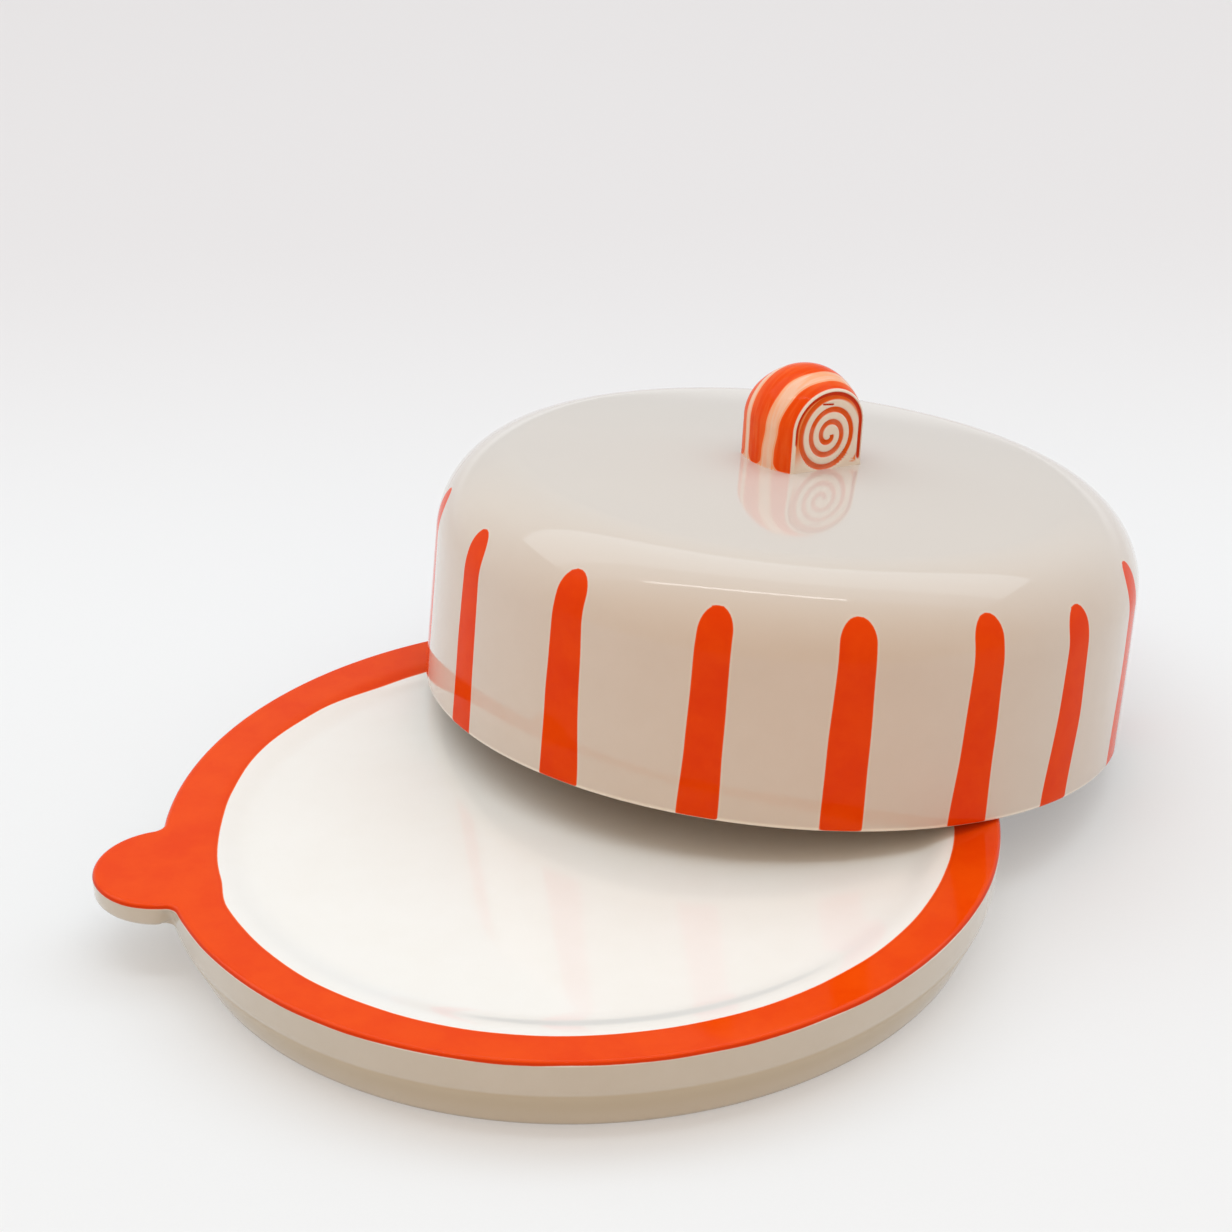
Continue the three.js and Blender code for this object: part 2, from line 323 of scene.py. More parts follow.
def make_glaze_skin():
    """The skin of a fired glaze: slow ripples, faint peel and pinholes, cloudy tone, varying gloss."""
    tree, given, result = shader_group(
        "glaze_skin",
        [("Place", "NodeSocketVector")],
        [("Tone", "NodeSocketFloat"), ("Gloss", "NodeSocketFloat"), ("Height", "NodeSocketFloat")],
    )
    slow = cloud(tree, given["Place"], scale=22, detail=1)
    peel = cloud(tree, given["Place"], scale=420, detail=2)
    mottle = cloud(tree, given["Place"], scale=60, detail=5, roughness=0.6)
    speck = cloud(tree, given["Place"], scale=1500, detail=1)
    pinhole = ramp(tree, speck, 0.79, 0.83)
    shade = calc(tree, "MULTIPLY", pinhole, pinhole_tone)
    tree.links.new(calc(tree, "SUBTRACT", mottle, shade), result["Tone"])
    tree.links.new(ramp(tree, mottle, 0.2, 0.8, to_low=0.06, to_high=0.16), result["Gloss"])
    relief = calc(tree, "MULTIPLY_ADD", peel, peel_height, slow)
    pit = calc(tree, "MULTIPLY", pinhole, pinhole_height)
    tree.links.new(calc(tree, "SUBTRACT", relief, pit), result["Height"])
    return tree


fray_share = 0.1


def make_brushed_edge():
    """Where a brushed colour ends: what it covers, where it is thin or pools, and a pale line outside."""
    tree, given, result = shader_group(
        "brushed_edge",
        [("Place", "NodeSocketVector"), ("Depth", "NodeSocketFloat"), ("Waver", "NodeSocketFloat")],
        [
            ("Paint", "NodeSocketFloat"),
            ("Thin", "NodeSocketFloat"),
            ("Pool", "NodeSocketFloat"),
            ("Halo", "NodeSocketFloat"),
        ],
    )
    wave = calc(tree, "SUBTRACT", cloud(tree, given["Place"], scale=30, detail=1), 0.5)
    fray = calc(tree, "SUBTRACT", cloud(tree, given["Place"], scale=500, detail=2), 0.5)
    drift = calc(tree, "MULTIPLY_ADD", fray, fray_share, wave)
    depth = calc(tree, "MULTIPLY_ADD", drift, given["Waver"], given["Depth"])
    tree.links.new(ramp(tree, depth, -0.12 * mm, 0.18 * mm), result["Paint"])
    tree.links.new(ramp(tree, depth, 0.1 * mm, 0.6 * mm, 1, 0), result["Thin"])
    rising = ramp(tree, depth, 0.15 * mm, 0.5 * mm)
    falling = ramp(tree, depth, 0.6 * mm, 1.5 * mm, 1, 0)
    tree.links.new(calc(tree, "MULTIPLY", rising, falling), result["Pool"])
    outer = ramp(tree, depth, -0.9 * mm, -0.4 * mm)
    inner = ramp(tree, depth, -0.15 * mm, 0.05 * mm, 1, 0)
    tree.links.new(calc(tree, "MULTIPLY", outer, inner), result["Halo"])
    return tree


glaze_skin = make_glaze_skin()
brushed_edge = make_brushed_edge()


def grouped(tree, group, inputs):
    """The outputs of a node group placed in a material."""
    return node(tree, "ShaderNodeGroup", inputs, node_tree=group).outputs


def brushed(tree, place, waver):
    """The edge of the colour brushed on a piece, which wavers this much."""
    inputs = {"Place": place, "Depth": mark(tree, "painted"), "Waver": waver}
    return grouped(tree, brushed_edge, inputs)


def mottled(tree, glaze, first, second):
    """A brushed colour that drifts between two with the glaze's cloudy tone."""
    return blend(tree, ramp(tree, glaze["Tone"], 0.3, 0.7), first, second)


def new_material(name):
    """A material with one Principled shader, and the coordinates of its piece."""
    made = bpy.data.materials.new(name)
    made.use_nodes = True
    tree = made.node_tree
    place = node(tree, "ShaderNodeAttribute", attribute_name="own_place").outputs["Vector"]
    return made, tree, tree.nodes["Principled BSDF"], place


coat_roughness = 0.05
coat_index = 1.5


def finish_glaze(tree, shader, glaze, base, clear, relief, ripple, under_gloss):
    """Joins a glaze's colour, clear coat, gloss and relief to its shader."""
    tree.links.new(base, shader.inputs["Base Color"])
    tree.links.new(clear, shader.inputs["Coat Weight"])
    tree.links.new(glaze["Gloss"], shader.inputs["Roughness"])
    bump = node(tree, "ShaderNodeBump", {"Height": relief, "Distance": ripple})
    tree.links.new(bump.outputs["Normal"], shader.inputs["Normal"])
    shader.inputs["Specular IOR Level"].default_value = under_gloss
    shader.inputs["Coat Roughness"].default_value = coat_roughness
    shader.inputs["Coat IOR"].default_value = coat_index


orange_deep = colour(229, 67, 3)
orange_body = colour(234, 76, 5)
orange_thin = colour(250, 146, 74)
orange_pool = colour(222, 56, 0)
orange_rolled = colour(196, 46, 2)
well_white = colour(241, 241, 239)
well_cream = colour(237, 236, 232)
# The outside wall's cream tones and its darker low band are painted shade, not a glaze of their own.
wall_cream_painted_shade = colour(195, 187, 174)
wall_pale_painted_shade = colour(203, 196, 185)
wall_low_painted_shade = colour(192, 180, 160)
rim_waver = 1.0 * mm
pool_share = 0.35
thin_share = 0.4
rolled_share = 0.75
bend_blur = 0.6 * mm
white_coat = 0.85
orange_coat = 0.03
plate_ripple = 0.25 * mm
plate_under_gloss = 0.12
# How far below the rim's top the orange ends, rolls over darker, and the wall's cream painted shade begins.
paint_drop = 1.3 * mm
rolled_drop = (0.2 * mm, 0.8 * mm)
wall_drop = (1.0 * mm, 1.7 * mm)
# The inner edge of the orange: degrees round from the right of the plate, and mm out from its middle.
paint_inner = (
    (-180, 120.6), (-165, 121.8), (-156, 124.2), (-125, 125.5), (-95, 126.0), (-55, 125.2), (-15, 124.4),
    (40, 122.8), (90, 120.5), (125, 118.6), (140, 120.8), (155, 122.0), (170, 120.9), (180, 120.6),
)


def rim_paint(point):
    """How deep a point of the plate lies inside the orange, from its inner and its outer edge."""
    way = math.degrees(math.atan2(point.y, point.x))
    inward = math.hypot(point.x, point.y) - along_line(paint_inner, way) * mm
    return min(inward, point.z - plate_height + paint_drop)


def make_plate_glaze():
    """White in the well; the outside wall cream with painted shade, darker below its bend; the rim's orange
    over both.
    """
    made, tree, shader, place = new_material("plate_white_glaze_orange_rim")
    height = parts(tree, place)["Z"]
    brush = brushed(tree, place, rim_waver)
    glaze = grouped(tree, glaze_skin, {"Place": place})
    reach = node(tree, "ShaderNodeVectorMath", {0: place}, operation="LENGTH").outputs["Value"]
    outside = ramp(tree, reach, rim_inner, plate_radius - rim_round)
    low, rolled = [
        calc(tree, "MULTIPLY", ramp(tree, height, plate_height - start, plate_height - stop), outside)
        for start, stop in (wall_drop, rolled_drop)
    ]
    # Painted shade: below the bend the wall turns darker.
    below = ramp(tree, height, bend_height + bend_blur, bend_height - bend_blur)
    well = blend(tree, glaze["Tone"], well_cream, well_white)
    wall = blend(tree, glaze["Tone"], wall_cream_painted_shade, wall_pale_painted_shade)
    white = blend(tree, low, well, blend(tree, below, wall, wall_low_painted_shade))
    orange = mottled(tree, glaze, orange_deep, orange_body)
    orange = tint(tree, orange, brush["Pool"], pool_share, orange_pool)
    orange = tint(tree, orange, brush["Thin"], thin_share, orange_thin)
    orange = tint(tree, orange, rolled, rolled_share, orange_rolled)
    base = blend(tree, brush["Paint"], white, orange)
    clear = ramp(tree, calc(tree, "MAXIMUM", brush["Paint"], below), 0, 1, white_coat, orange_coat)
    finish_glaze(tree, shader, glaze, base, clear, glaze["Height"], plate_ripple, plate_under_gloss)
    return made


columns = [plate_column(edge, out) for edge, out in plate_edge()]
plate_mesh = skin(
    "glazed_plate",
    Vector((0, 0, well_floor)),
    list(zip(*columns)),
    Vector((0, 0, deck_underside)),
)
plate_marks = {"painted": [rim_paint(vertex.co) for vertex in plate_mesh.vertices]}
plate_place = Matrix.Translation(plate_middle)
plate = fired_piece("glazed_plate", plate_mesh, plate_place, [make_plate_glaze()], plate_marks)
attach(plate, "plate")
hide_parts("plate")

# Cloche
# A cast drum with a round shoulder and a nearly flat top, open below, glazed cream outside and clear over
# warm clay inside. Upright orange strokes are brushed up the wall from the lip to the shoulder. It leans as
# it was set down: its near lip lies on the plate's rim, and its far lip on the table.
lid_gap = 1.6 * mm
lid_height = 89.3 * mm
lid_wall = 5 * mm
shoulder_radius = 30.6 * mm
crown_radius = 1310 * mm
lip_round = 1.6 * mm
lean = math.radians(10.3794)
lean_way = math.radians(53.85)
lean_offset = 116.2 * mm
lid_columns = 480
lip_steps = 6
outer_wall_steps = 28
inner_wall_steps = 12

lid_radius = rim_inner - lid_gap
lid_lift = (lid_radius - lip_round) * math.sin(lean) + lip_round * (1 - math.cos(lean))
lean_step = Vector((lean_offset * math.cos(lean_way), lean_offset * math.sin(lean_way), lid_lift))
lean_axis = Vector((-math.sin(lean_way), math.cos(lean_way), 0))
lid_place = Matrix.Translation(plate_middle + lean_step) @ Matrix.Rotation(lean, 4, lean_axis)
shoulder_reach = lid_radius - shoulder_radius
shoulder_rise = math.sqrt((crown_radius - shoulder_radius) ** 2 - shoulder_reach ** 2)
spring = lid_height - crown_radius + shoulder_rise


def dome_line(offset, crown_steps, shoulder_steps):
    """Points of the half section over crown and shoulder, from beside the middle down to the wall."""
    crown_middle = Vector((0, lid_height - crown_radius))
    shoulder_middle = Vector((shoulder_reach, spring))
    meeting = math.atan2(shoulder_rise, shoulder_reach)
    top = math.pi / 2
    crown = list(arc(crown_middle, crown_radius + offset, top, meeting, crown_steps))[1:]
    shoulder = arc(shoulder_middle, shoulder_radius + offset, meeting, 0, shoulder_steps)
    foot = shoulder_middle + Vector((shoulder_radius + offset, 0))
    return [point for point, way in crown + list(shoulder)] + [foot]


def lid_line():
    """The half section of the cloche, over the outside and round the lip, and then up the inside."""
    outside = dome_line(0, crown_steps=18, shoulder_steps=32)
    for i in range(1, outer_wall_steps):
        outside.append(Vector((lid_radius, spring + (lip_round - spring) * i / outer_wall_steps)))
    outer_middle = Vector((lid_radius - lip_round, lip_round))
    inner_middle = Vector((lid_radius - lid_wall + lip_round, lip_round))
    outer_lip = arc(outer_middle, lip_round, 0, -math.pi / 2, lip_steps)
    inner_lip = arc(inner_middle, lip_round, -math.pi / 2, -math.pi, lip_steps)
    lip = [point for point, way in list(outer_lip) + list(inner_lip)]
    inside = []
    for i in range(inner_wall_steps):
        height = lip_round + (spring - lip_round) * i / inner_wall_steps
        inside.append(Vector((lid_radius - lid_wall, height)))
    return outside + lip, inside + dome_line(-lid_wall, crown_steps=12, shoulder_steps=14)[::-1]


def turned(line, count):
    """Rings of points: a half section turned about the upright axis."""
    turns = [2 * math.pi * i / count for i in range(count)]
    return [[Vector((p.x * math.cos(t), p.x * math.sin(t), p.y)) for t in turns] for p in line]


cream_deep = colour(204, 192, 181)
cream_body = colour(210, 199, 189)
# Painted light: the crown's paler cream stands for the top catching more light from above.
crown_cream_painted_light = colour(210, 202, 194)
# Pale cream for the halo at stroke edges and for the lip line, which is partly glaze break and partly
# painted highlight.
cream_pale_and_highlight = colour(238, 230, 218)
inside_deep = colour(188, 148, 100)
inside_body = colour(202, 164, 116)
stroke_deep = colour(223, 60, 1)
stroke_body = colour(229, 69, 2)
stroke_waver = 0.7 * mm
stroke_thin_share = 0.15
stroke_halo_share = 0.15
crown_start = 62 * mm
crown_end = 86 * mm
pale_lip_end = 0.9 * mm
cream_start = 2.0 * mm
cream_coat = 0.95
stroke_coat = 0.1
inside_coat = (0.8, 0.95)
lid_ripple = 0.3 * mm
lid_under_gloss = 0.03
inside_under_gloss = 0.12
# Each stroke: its place round the wall at foot, middle and top, and its width at each, in degrees; then its
# length in mm.
strokes = (
    (-152.9, -153.2, -153.1, 6.2, 5.9, 5.1, 72.8),
    (-128.4, -129.1, -129.4, 7.3, 6.5, 5.7, 74.3),
    (-104.8, -104.8, -104.9, 6.5, 6.0, 5.6, 73.6),
    (-82.9, -83.1, -83.2, 6.6, 6.4, 5.9, 74.4),
    (-62.0, -61.6, -61.5, 7.1, 6.2, 5.5, 74.3),
    (-43.3, -41.8, -41.9, 6.6, 6.5, 5.4, 70.9),
    (-20.3, -18.8, -19.7, 6.4, 6.3, 5.6, 74.4),
    (3.2, 3.0, 2.6, 6.8, 6.3, 5.7, 73.0),
    (26.0, 25.6, 25.8, 6.5, 6.2, 5.4, 74.8),
    (47.5, 48.0, 48.2, 6.9, 6.3, 5.8, 72.1),
    (70.8, 70.4, 70.1, 6.4, 6.1, 5.5, 74.0),
    (92.9, 93.2, 93.0, 7.0, 6.4, 5.7, 73.2),
    (115.5, 115.0, 114.8, 6.6, 6.2, 5.6, 74.5),
    (137.4, 137.9, 138.3, 6.8, 6.4, 5.8, 72.6),
    (160.1, 160.0, 159.6, 6.5, 6.0, 5.3, 73.8),
    (-176.2, -175.9, -176.0, 6.3, 6.1, 5.4, 71.5),
)
stroke_foot = 0.5 * mm
stroke_cap = 9 * mm
cap_least = 0.15
far_outside = -1.0


def climb(height):
    """How far up the outside a height is, measured along wall and shoulder from the lip."""
    if height < spring:
        return height
    return spring + shoulder_radius * math.asin(min((height - spring) / shoulder_radius, 1))


def stroke_paint(point):
    """How deep a point of the wall lies inside the nearest brush stroke, which narrows to a round end."""
    way = math.degrees(math.atan2(point.y, point.x))
    up = climb(point.z)
    best = far_outside
    for foot, middle, top, foot_width, middle_width, top_width, length in strokes:
        length *= mm
        share = up / length
        centre = along_line(((0, foot), (0.5, middle), (0.9, top)), share)
        width = along_line(((0, foot_width), (0.35, middle_width), (0.85, top_width)), share)
        half = math.radians(width) / 2 * lid_radius
        past = min(max(up - length + stroke_cap, 0) / stroke_cap, 1)
        end = math.sqrt(1 - past ** 2)
        slope = half * past / stroke_cap / max(end, cap_least)
        away = abs((way - centre + 180) % 360 - 180)
        inside = (half * end - math.radians(away) * lid_radius) / math.hypot(1, slope)
        best = max(best, min(inside, length - up))
    return min(best, point.z - stroke_foot)


def make_cloche_glaze():
    """Cream, paler over the crown as painted light, and along the lip partly as glaze break and partly as
    painted highlight, with orange strokes.
    """
    made, tree, shader, place = new_material("cloche_cream_glaze_orange_strokes")
    height = parts(tree, place)["Z"]
    brush = brushed(tree, place, stroke_waver)
    glaze = grouped(tree, glaze_skin, {"Place": place})
    cream = blend(tree, glaze["Tone"], cream_deep, cream_body)
    # Painted light: paler cream over the crown.
    cream = blend(tree, ramp(tree, height, crown_start, crown_end), cream, crown_cream_painted_light)
    # The pale lip line is partly glaze break and partly painted highlight.
    lip = ramp(tree, height, pale_lip_end, cream_start, 1, 0)
    pale = calc(tree, "MAXIMUM", calc(tree, "MULTIPLY", brush["Halo"], stroke_halo_share), lip)
    cream = blend(tree, pale, cream, cream_pale_and_highlight)
    orange = mottled(tree, glaze, stroke_deep, stroke_body)
    orange = tint(tree, orange, brush["Thin"], stroke_thin_share, orange_thin)
    base = blend(tree, brush["Paint"], cream, orange)
    clear = ramp(tree, brush["Paint"], 0, 1, cream_coat, stroke_coat)
    finish_glaze(tree, shader, glaze, base, clear, glaze["Height"], lid_ripple, lid_under_gloss)
    return made


def make_cloche_inside():
    """Warm clay under a clear glaze."""
    made, tree, shader, place = new_material("cloche_clear_glaze_inside")
    glaze = grouped(tree, glaze_skin, {"Place": place})
    base = blend(tree, glaze["Tone"], inside_deep, inside_body)
    clear = ramp(tree, glaze["Tone"], 0.2, 0.8, *inside_coat)
    finish_glaze(tree, shader, glaze, base, clear, glaze["Height"], lid_ripple, inside_under_gloss)
    return made


outside_line, inside_line = lid_line()
lid_mesh = skin(
    "glazed_cloche",
    Vector((0, 0, lid_height)),
    turned(outside_line + inside_line, lid_columns),
    Vector((0, 0, lid_height - lid_wall)),
)
lid_marks = {"painted": [stroke_paint(vertex.co) for vertex in lid_mesh.vertices]}
lid_looks = [make_cloche_glaze(), make_cloche_inside()]
cloche = fired_piece("glazed_cloche", lid_mesh, lid_place, lid_looks, lid_marks)
faces_per_column = len(outside_line) + len(inside_line) + 1
for index, face in enumerate(lid_mesh.polygons):
    face.material_index = int(index % faces_per_column > len(outside_line))
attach(cloche, "cloche")
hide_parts("cloche")

# Knob
# A short roll of clay with swelling sides and straight flanks, pressed on to the top of the cloche and fired
# with it. A spiral is carved in each end, as if a painted sheet had been rolled up, and bands of orange run
# over its back.
knob_length = 28 * mm
knob_end_width = 31.3 * mm
knob_end_height = 29.4 * mm
knob_side_bulge = 4 * mm
knob_top_bulge = 5.8 * mm
knob_flank = 15.9 * mm
knob_round = 0.5 * mm
knob_seat = 1 * mm
knob_sink = 0.9 * mm
knob_flare = 0.7 * mm
knob_flare_height = 2.2 * mm
knob_shift = 1.3 * mm
knob_tilt = math.radians(2.2)
knob_angle = math.radians(-53.4)
spiral_rise = 13.3 * mm
spiral_start = 1.3 * mm
spiral_pitch = 4.5 * mm
spiral_turns = 2.95
spiral_depth = 0.9 * mm
spiral_half_width = 1.45 * mm
spiral_tail = 0.3
spiral_head = 0.05
spiral_head_start = 0.4
flank_steps = 24
flank_gather = 1.4
arch_steps = 108
base_steps = 16
face_steps = 71
edge_steps = 5
barrel_steps = 80

knob_base = knob_seat - knob_sink
knob_place = (
    lid_place
    @ Matrix.Translation((knob_shift, 0, lid_height - knob_seat))
    @ Matrix.Rotation(knob_angle, 4, "Z")
    @ Matrix.Rotation(knob_tilt, 4, "X")
)


def roll_size(along, inset):
    """Half the roll's width and the height of its arch, at one place along it."""
    swell = 1 - (2 * along / knob_length) ** 2
    half = knob_end_width / 2 + knob_side_bulge * swell - inset
    return half, knob_end_height - knob_flank + knob_top_bulge * swell - inset


def roll_section(along, inset):
    """The outline of the roll square to its length, anticlockwise from its right-hand lower corner."""
    half, arch = roll_size(along, inset)
    line = []
    for i in range(flank_steps):
        height = knob_base + (knob_flank - knob_base) * (i / flank_steps) ** flank_gather
        flare = knob_flare * max(0, 1 - (height - knob_base) / knob_flare_height) ** 2
        line.append((half + flare, height))
    for i in range(arch_steps + 1):
        turn = math.pi * i / arch_steps
        line.append((half * math.cos(turn), knob_flank + arch * math.sin(turn)))
    line += [(-across, height) for across, height in line[flank_steps - 1::-1]]
    foot = line[0][0]
    line += [(-foot + 2 * foot * i / base_steps, knob_base) for i in range(1, base_steps)]
    return [Vector(point) for point in line]


def spiral_turn(across, up):
    """How far round the spiral's middle a point lies, from 0 to 1, clockwise from its right."""
    return math.atan2(-up, across) / (2 * math.pi) % 1


def spiral_groove(across, up):
    """How deep the spiral is at a point of an end, from 0 to 1."""
    reach = math.hypot(across, up)
    best = 0
    for lap in range(math.ceil(spiral_turns)):
        turns = spiral_turn(across, up) + lap
        away = abs(reach - spiral_start - spiral_pitch * turns)
        if turns < spiral_turns and away < spiral_half_width:
            tail = smooth((spiral_turns - turns) / spiral_tail)
            head = smooth(turns / spiral_head + spiral_head_start)
            hollow = 0.5 + 0.5 * math.cos(math.pi * away / spiral_half_width)
            best = max(best, tail * head * hollow)
    return best


def edge_distance(spot):
    """How far in from the edge of an end a point lies."""
    half, arch = roll_size(knob_length / 2, 0)
    if spot.y < knob_flank:
        return half - abs(spot.x)
    lift = spot.y - knob_flank
    way = math.atan2(lift, spot.x)
    edge = half * arch / math.hypot(arch * math.cos(way), half * math.sin(way))
    return edge - math.hypot(spot.x, lift)


rim_line_depth = 0.5 * mm
rim_line_inset = 0.5 * mm
rim_line_width = 0.95 * mm
rim_line_gain = 0.6 * mm
rim_line_foot = 10.5 * mm
rim_line_fall = 9.5 * mm
rim_line_fade = 2.5 * mm
dash_left = -3.4 * mm
dash_length = 4.4 * mm
dash_height = 24.9 * mm
dash_fall = 0.13
dash_half_width = 0.65 * mm


def rim_line(spot):
    """The line inside the edge of an end, wider and longer to the right, and the dash near the top."""
    half, arch = roll_size(knob_length / 2, 0)
    share = 0.5 + 0.5 * spot.x / half
    width = rim_line_width + rim_line_gain * share
    line = 1 - smooth(abs(edge_distance(spot) - rim_line_inset - width / 2) / width)
    line *= smooth((spot.y - rim_line_foot + rim_line_fall * share) / rim_line_fade)
    run = min(max(spot.x - dash_left, 0), dash_length)
    away = math.hypot(spot.x - dash_left - run, spot.y - dash_height + dash_fall * run)
    return max(line, 1 - smooth(away / dash_half_width))


# The wash goes from a first level to a full one: outside the spiral's last lap, from one part of a turn on,
# and in from the edge. The corner at the right foot is bounded at left, right and below, and by a slope
# above.
wash_outside = (-1.2 * mm, -0.2 * mm)
wash_round = (0.38, 0.48)
wash_inset = (0.6 * mm, 1.1 * mm)
corner_left = (10.6 * mm, 11.4 * mm)
corner_right = (13.6 * mm, 13.0 * mm)
corner_foot = (1.6 * mm, 2.1 * mm)
corner_top = (1.4 * mm, 0.4 * mm)
corner_slope = 1.6


def rise_between(levels, at):
    """An ease from 0 at the first level to 1 at the second."""
    first, full = levels
    return smooth((at - first) / (full - first))


def end_wash(spot):
    """The thin wash on an end, outside the spiral's last lap, and in the corner at its right foot."""
    across = spot.x
    up = spot.y - spiral_rise
    turn = spiral_turn(across, up)
    last_lap = spiral_start + spiral_pitch * (turn + 2)
    wash = rise_between(wash_outside, math.hypot(across, up) - last_lap)
    wash *= rise_between(wash_round, turn)
    wash *= rise_between(wash_inset, edge_distance(spot))
    corner = rise_between(corner_left, across) * rise_between(corner_right, across)
    corner *= rise_between(corner_foot, spot.y)
    corner *= rise_between(corner_top, spot.y - corner_slope * (across - corner_left[0]))
    return max(wash, corner)


def end_rings():
    """Rings over the near end of the roll, from beside its middle to its edge, with each point's marks."""
    middle = Vector((0, spiral_rise))
    outline = roll_section(knob_length / 2, knob_round)
    rings = []
    marks = []
    for k in range(1, face_steps + 1):
        ring = []
        found = []
        for point in outline:
            spot = middle.lerp(point, k / face_steps)
            groove = spiral_groove(spot.x, spot.y - spiral_rise)
            line = rim_line(spot)
            depth = max(groove * spiral_depth, line * rim_line_depth)
            ring.append(Vector((knob_length / 2 - depth, spot.x, spot.y)))
            found.append((groove, line, end_wash(spot)))
        rings.append(ring)
        marks.append(found)
    return rings, marks


def barrel_rings():
    """Rings along the back of the roll, with a small round at each end."""
    straight = knob_length / 2 - knob_round
    places = []
    for turn in quarter_turn(edge_steps):
        places.append((straight + knob_round * math.cos(turn), knob_round * (1 - math.sin(turn))))
    places += [(straight * (1 - 2 * i / barrel_steps), 0) for i in range(1, barrel_steps)]
    places += [(-along, inset) for along, inset in places[edge_steps - 1::-1]]
    return [[Vector((along, p.x, p.y)) for p in roll_section(along, inset)] for along, inset in places]


# Where each band of the brush begins or ends, in mm along the roll from its middle, by the way over it from
# its left foot at 0 to its right foot at 1. Each flank takes up the same share of that way.
front_band = ((0, 7.0), (0.1, 7.0), (0.22, 8.0), (0.36, 9.2), (0.5, 10.5), (0.7, 10.8), (1, 9.6))
middle_band_front = ((0, 1.2), (0.1, 1.5), (0.22, 2.7), (0.36, 4.0), (0.5, 6.2), (0.7, 6.8), (1, 5.4))
middle_band_back = ((0, -6.0), (0.1, -6.4), (0.3, -6.9), (0.5, -6.4), (1, -6.2))
back_band = ((0, -9.4), (0.3, -9.8), (0.5, -9.4), (1, -9.6))
flank_share = 0.22
band_corner = 3 * mm
band_foot = 1.5 * mm


def band_paint(point):
    """How deep a point of the roll's back lies inside one of its painted bands."""
    half, arch = roll_size(point.x, 0)
    if point.z < knob_flank:
        over = flank_share * point.z / knob_flank
        over = over if point.y < 0 else 1 - over
    else:
        swing = math.atan2((point.z - knob_flank) / arch, point.y / half) / math.pi
        over = 1 - flank_share - (1 - 2 * flank_share) * swing
    middle_front = along_line(middle_band_front, over) * mm - point.x
    middle_back = point.x - along_line(middle_band_back, over) * mm
    side = max(
        point.x - along_line(front_band, over) * mm,
        min(middle_front, middle_back),
        along_line(back_band, over) * mm - point.x,
    )
    end = point.z - band_foot
    if 0 < side < band_corner and end < band_corner:
        return band_corner - math.hypot(band_corner - side, band_corner - end)
    return min(side, end)


knob_cream = colour(236, 226, 214)
knob_cream_deep = colour(227, 214, 200)
knob_peach = colour(242, 168, 122)
groove_orange = colour(226, 92, 20)
line_orange = colour(198, 52, 6)
wash_orange = colour(228, 130, 74)
band_waver = 0.8 * mm
streak_stretch = (1, 0.12, 0.12)
streak_share = 0.2
band_thin_share = 0.3
stain_streak = 0.4
stain_low = 0.25
stain_high = 0.6
stain_start = 8 * mm
stain_end = 26 * mm
knob_coat = 0.6
covered_coat = 0.1
knob_ripple = 0.2 * mm
knob_under_gloss = 0.04


def make_knob_glaze():
    """Orange bands over cream stained with peach on the back, and a painted spiral in cream on the ends."""
    made, tree, shader, place = new_material("knob_banded_glaze")
    height = parts(tree, place)["Z"]
    glaze = grouped(tree, glaze_skin, {"Place": place})
    brush = brushed(tree, place, band_waver)
    stretch = node(tree, "ShaderNodeVectorMath", {0: place, 1: streak_stretch}, operation="MULTIPLY")
    streak = ramp(tree, cloud(tree, stretch.outputs["Vector"], scale=420, detail=3), 0.38, 0.66)
    cream = blend(tree, glaze["Tone"], knob_cream_deep, knob_cream)
    orange = mottled(tree, glaze, stroke_body, orange_body)
    orange = tint(tree, orange, streak, streak_share, orange_thin)
    orange = tint(tree, orange, brush["Thin"], band_thin_share, orange_thin)
    rise = ramp(tree, height, stain_start, stain_end, stain_low, stain_high)
    stain = calc(tree, "MULTIPLY_ADD", streak, stain_streak, rise, clamp=True)
    stain = calc(tree, "MAXIMUM", stain, brush["Halo"])
    back = blend(tree, brush["Paint"], blend(tree, stain, cream, knob_peach), orange)
    fade = ramp(tree, cloud(tree, place, scale=130, detail=2), 0.35, 0.7, to_low=1, to_high=0.86)
    groove = calc(tree, "MULTIPLY", ramp(tree, mark(tree, "groove"), 0.05, 0.38), fade)
    face = blend(tree, mark(tree, "wash"), cream, wash_orange)
    face = blend(tree, groove, face, groove_orange)
    face = blend(tree, ramp(tree, mark(tree, "line"), 0.2, 0.7), face, line_orange)
    on_end = mark(tree, "on_end")
    base = blend(tree, on_end, back, face)
    covered = calc(tree, "MAXIMUM", brush["Paint"], on_end)
    clear = ramp(tree, covered, 0, 1, knob_coat, covered_coat)
    dabs = cloud(tree, place, scale=190, detail=2)
    relief = calc(tree, "ADD", glaze["Height"], dabs)
    finish_glaze(tree, shader, glaze, base, clear, relief, knob_ripple, knob_under_gloss)
    return made


